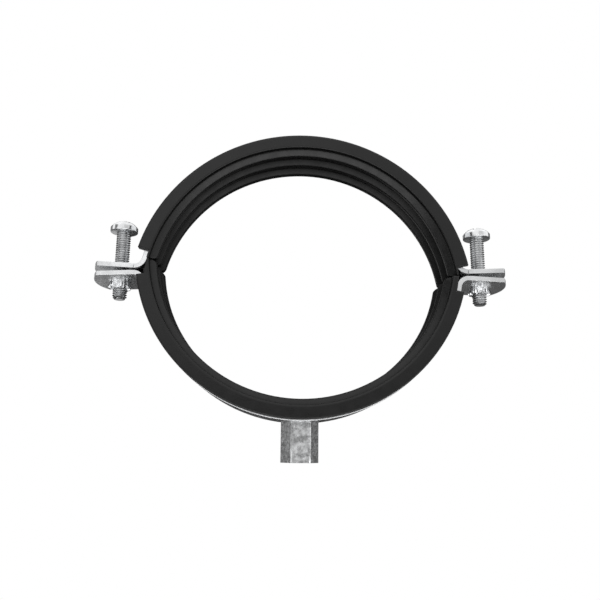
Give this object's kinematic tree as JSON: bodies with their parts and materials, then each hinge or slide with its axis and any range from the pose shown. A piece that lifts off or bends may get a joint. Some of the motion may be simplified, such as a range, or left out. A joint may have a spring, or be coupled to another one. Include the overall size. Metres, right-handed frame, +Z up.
{
  "type": "rubber lined pipe clamp",
  "caption": "Two-piece steel pipe clamp with ribbed rubber lining, clamping screws through its ears and a hexagon connection nut for a threaded rod.",
  "frame": {"origin": "on the pipe's axis at mid-width, in the plane where the two halves meet", "axes": "+X from the left ear to the right ear, +Y along the pipe, +Z up, away from the connection nut"},
  "size_m": [0.1738, 0.028, 0.1364],
  "materials": {
    "strap_steel": "zinc plated strip, satin",
    "lining_rubber": "matt black rubber",
    "screw_steel": "bright zinc plated",
    "nut_steel": "zinc plated bar, satin"
  },
  "bodies": {
    "lower_half": {"lower_strap": "strap_steel", "lower_lining": "lining_rubber", "connection_nut": "nut_steel"},
    "upper_half": {"upper_strap": "strap_steel", "upper_lining": "lining_rubber"},
    "left_screw": {"left_screw": "screw_steel"},
    "right_screw": {"right_screw": "screw_steel"}
  },
  "joints": [
    {"name": "upper_half_lift", "type": "slide", "parent": "lower_half", "child": "upper_half", "axis": [0, 0, 1], "range_m": [0, 0.03]},
    {"name": "left_screw_travel", "type": "slide", "parent": "upper_half", "child": "left_screw", "axis": [0, 0, 1], "range_m": [-0.016, 0]},
    {"name": "right_screw_travel", "type": "slide", "parent": "upper_half", "child": "right_screw", "axis": [0, 0, 1], "range_m": [-0.016, 0]}
  ]
}
